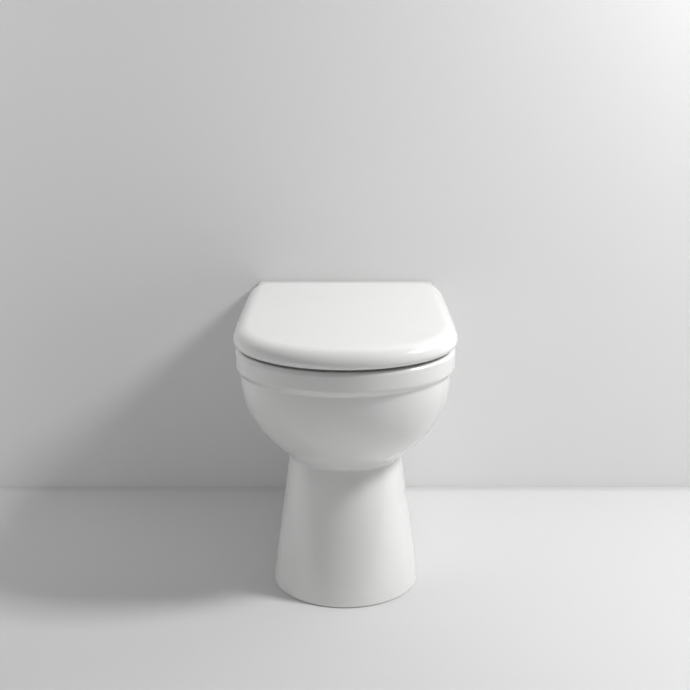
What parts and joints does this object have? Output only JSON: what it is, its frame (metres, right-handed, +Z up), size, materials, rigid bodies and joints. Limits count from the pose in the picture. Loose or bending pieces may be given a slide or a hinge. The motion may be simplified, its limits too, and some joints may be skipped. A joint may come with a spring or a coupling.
{
  "type": "back to wall toilet",
  "caption": "Pedestal toilet pan that stands against a wall, with a shelf behind, a trapway to a horizontal outlet, and a soft-close seat under a wrap-over lid.",
  "frame": {"origin": "on the floor, below the middle of the whole object's box", "axes": "+X to the right as seen from the front, -Y to the front, +Y to the wall, +Z up"},
  "size_m": [0.354, 0.52, 0.4399],
  "materials": {
    "glazed_china": "white vitreous glaze, high gloss",
    "seat_gloss": "white moulded thermoset, high gloss",
    "hinge_gloss": "white moulded plastic, gloss",
    "buffer_rubber": "soft off-white elastomer",
    "damper_plastic": "dark grey moulded plastic",
    "bright_steel": "bright stainless steel",
    "black_rubber": "black rubber",
    "natural_nylon": "natural nylon, matt",
    "white_plastic": "white plastic, satin",
    "cap_chrome": "chromed, bright"
  },
  "bodies": {
    "pan": {"rim": "glazed_china", "bowl": "glazed_china", "pedestal": "glazed_china", "trapway": "glazed_china", "flush_inlet_socket": "glazed_china", "left_hinge_post": "hinge_gloss", "right_hinge_post": "hinge_gloss", "left_hinge_pin": "bright_steel", "right_hinge_pin": "bright_steel", "left_fixing_bolt": "bright_steel", "right_fixing_bolt": "bright_steel", "left_fixing_washer": "bright_steel", "right_fixing_washer": "bright_steel", "left_side_screw": "bright_steel", "right_side_screw": "bright_steel", "left_rubber_bush": "black_rubber", "right_rubber_bush": "black_rubber", "left_wing_nut": "natural_nylon", "right_wing_nut": "natural_nylon", "left_floor_block": "natural_nylon", "right_floor_block": "natural_nylon", "left_screw_sleeve": "white_plastic", "right_screw_sleeve": "white_plastic", "left_screw_cap": "cap_chrome", "right_screw_cap": "cap_chrome"},
    "seat": {"seat_ring": "seat_gloss", "seat_buffers": "buffer_rubber", "seat_damper": "damper_plastic"},
    "lid": {"lid": "seat_gloss", "lid_buffers": "buffer_rubber", "lid_damper": "damper_plastic"}
  },
  "joints": [
    {"name": "seat_hinge", "type": "hinge", "parent": "pan", "child": "seat", "pos_m": [0, 0.148, 0.424], "axis": [-1, 0, 0], "range_deg": [0, 90]},
    {"name": "lid_hinge", "type": "hinge", "parent": "seat", "child": "lid", "pos_m": [0, 0.148, 0.424], "axis": [-1, 0, 0], "range_deg": [0, 91]}
  ]
}
